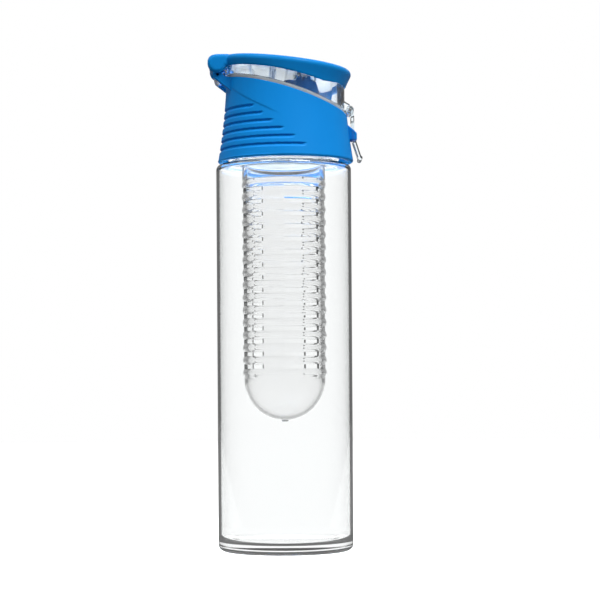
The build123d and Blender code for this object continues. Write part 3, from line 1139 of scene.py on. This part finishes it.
def ray_kinds(tree):
    """Four kinds of ray, each 1 or 0, and a brightness.

    seen: what the camera sees, straight or through clear plastic
    seen_through: the part of it that is seen through plastic
    mirrored: what clear plastic mirrors behind its outer face
    lit_inside: the light that comes through clear plastic on things seen through it
    tone: how bright what plastic mirrors is: dark within the first wall, light behind it, and
        dark again within an inner wall"""
    path = add(tree, "ShaderNodeLightPath").outputs
    direct = add(
        tree, "ShaderNodeMath", {0: path["Diffuse Depth"], 1: 0.5}, operation="LESS_THAN"
    )
    # More mirrors or faces crossed than this many. The depths are whole numbers.
    mirror, through, behind, walled, inmost = [
        add(tree, "ShaderNodeMath", {0: path[depth], 1: passed + 0.5}, operation="GREATER_THAN")
        for depth, passed in (
            ("Glossy Depth", 0),
            ("Transmission Depth", 0),
            ("Transmission Depth", 2),
            ("Transmission Depth", 3),
            ("Transmission Depth", 5),
        )
    ]
    tone = add(
        tree,
        "ShaderNodeMath",
        {0: behind, 1: back_wall - edge_wall, 2: edge_wall},
        operation="MULTIPLY_ADD",
    )
    tone = add(
        tree,
        "ShaderNodeMath",
        {0: inmost, 1: inmost_wall - back_wall, 2: tone},
        operation="MULTIPLY_ADD",
    )
    straight = add(tree, "ShaderNodeMath", {0: 1.0, 1: mirror}, operation="SUBTRACT")
    seen = add(tree, "ShaderNodeMath", {0: direct, 1: straight}, operation="MULTIPLY")
    seen_through = add(tree, "ShaderNodeMath", {0: seen, 1: through}, operation="MULTIPLY")
    image = add(tree, "ShaderNodeMath", {0: direct, 1: mirror}, operation="MULTIPLY")
    mirrored = add(tree, "ShaderNodeMath", {0: image, 1: through}, operation="MULTIPLY")
    scattered = add(tree, "ShaderNodeMath", {0: 1.0, 1: direct}, operation="SUBTRACT")
    lit_inside = add(tree, "ShaderNodeMath", {0: scattered, 1: walled}, operation="MULTIPLY")
    return seen, seen_through, mirrored, lit_inside, tone


def floor():
    """A round white floor, plain white through clear plastic, and of a set tone where that
    mirrors it."""
    made, tree = material("white_studio_floor")
    seen, seen_through, mirrored, lit_inside, tone = ray_kinds(tree)
    paint = add(
        tree,
        "ShaderNodeMix",
        {0: seen, 6: linear("707070"), 7: linear("F2F2F2")},
        data_type="RGBA",
    )
    matt = add(tree, "ShaderNodeBsdfDiffuse", {"Color": paint.outputs[2]})
    shine = add(tree, "ShaderNodeMath", {0: seen, 1: floor_glow}, operation="MULTIPLY")
    glow = add(tree, "ShaderNodeEmission", {"Color": white, "Strength": shine})
    lit = add(tree, "ShaderNodeAddShader", {0: matt, 1: glow})
    reflected = add(tree, "ShaderNodeMath", {0: tone, 1: floor_tone}, operation="MULTIPLY")
    level = 0.0
    plainly = 0.0
    for kind, brightness in (
        (seen_through, backlight),
        (lit_inside, inner_light),
        (mirrored, reflected),
    ):
        level = add(
            tree, "ShaderNodeMath", {0: kind, 1: brightness, 2: level}, operation="MULTIPLY_ADD"
        )
        plainly = add(tree, "ShaderNodeMath", {0: kind, 1: plainly}, operation="ADD")
    plain = add(tree, "ShaderNodeEmission", {"Color": white, "Strength": level})
    both = add(tree, "ShaderNodeMixShader", {0: plainly, 1: lit, 2: plain})
    add(tree, "ShaderNodeOutputMaterial", {"Surface": both})
    work = bmesh.new()
    bmesh.ops.create_circle(work, cap_ends=True, radius=floor_radius, segments=96)
    data = bpy.data.meshes.new("studio_floor")
    work.to_mesh(data)
    work.free()
    data.materials.append(made)
    plane = bpy.data.objects.new("studio_floor", data)
    scene.collection.objects.link(plane)


def studio():
    """A white backdrop for what is looked at or seen through clear plastic, a grey room with a
    bright ceiling for reflections and light, and set tones for what the plastic itself mirrors."""
    world = bpy.data.worlds.new("studio")
    scene.world = world
    world.use_nodes = True
    tree = world.node_tree
    tree.nodes.clear()
    seen, seen_through, mirrored, lit_inside, tone = ray_kinds(tree)
    place = add(tree, "ShaderNodeTexCoord")
    up = add(tree, "ShaderNodeSeparateXYZ", {0: place.outputs["Generated"]}).outputs["Z"]
    walls = add(tree, "ShaderNodeMix", {0: mirrored, 2: room_wall, 3: tone}, data_type="FLOAT")
    ceiling = add(
        tree,
        "ShaderNodeMapRange",
        {
            "Value": up,
            "From Min": 0.25,
            "From Max": 0.75,
            "To Min": walls,
            "To Max": room_ceiling,
        },
        interpolation_type="SMOOTHSTEP",
    )
    inner = add(
        tree, "ShaderNodeMix", {0: lit_inside, 2: ceiling, 3: inner_light}, data_type="FLOAT"
    )
    backdrop = add(
        tree,
        "ShaderNodeMath",
        {0: seen_through, 1: backlight - 1.0, 2: 1.0},
        operation="MULTIPLY_ADD",
    )
    strength = add(tree, "ShaderNodeMix", {0: seen, 2: inner, 3: backdrop}, data_type="FLOAT")
    sky = add(tree, "ShaderNodeBackground", {"Color": white, "Strength": strength})
    add(tree, "ShaderNodeOutputWorld", {"Surface": sky})


def lamp(name, place, aim, width, height, power):
    """A soft panel of light that faces aim."""
    data = bpy.data.lights.new(name, "AREA")
    data.shape = "RECTANGLE"
    data.size = width
    data.size_y = height
    data.energy = power
    made = bpy.data.objects.new(name, data)
    made.location = place
    made.rotation_mode = "QUATERNION"
    made.rotation_quaternion = (Vector(aim) - Vector(place)).to_track_quat("-Z", "Y")
    made.visible_camera = False
    made.visible_transmission = False
    scene.collection.objects.link(made)


floor()
studio()
lamp("front_panel", (0.5, -0.6, 1.3), aim=(0, 0, 0.2), width=0.6, height=0.6, power=13.5)
lamp("left_panel", (-0.5, -0.5, 1.45), aim=(0, 0, 0.2), width=0.4, height=0.6, power=6.0)
lamp("right_panel", (1.0, -0.3, 0.6), aim=(0, 0, 0.16), width=0.35, height=0.9, power=0.2)
lamp("back_panel", (0.2, 1.1, 0.9), aim=(0, 0, 0.15), width=0.8, height=0.6, power=2.5)

camera_distance = 0.960
camera_height = 0.091
camera_roll = -0.38
camera_data = bpy.data.cameras.new("camera")
camera_data.sensor_width = 36.0
camera_data.lens = 110.8
camera_data.shift_x = 0.0251
camera_data.shift_y = 0.125
camera_data.clip_start = 0.05
camera_data.clip_end = 50.0
camera = bpy.data.objects.new("camera", camera_data)
camera.matrix_world = (
    Matrix.Translation((0.0, -camera_distance, camera_height))
    @ Matrix.Rotation(pi / 2, 4, "X")
    @ Matrix.Rotation(radians(camera_roll), 4, "Z")
)
scene.collection.objects.link(camera)
scene.camera = camera
scene.view_settings.view_transform = "Standard"
scene.cycles.max_bounces = 32
scene.cycles.transmission_bounces = 32
scene.cycles.transparent_max_bounces = 32
scene.cycles.glossy_bounces = 12
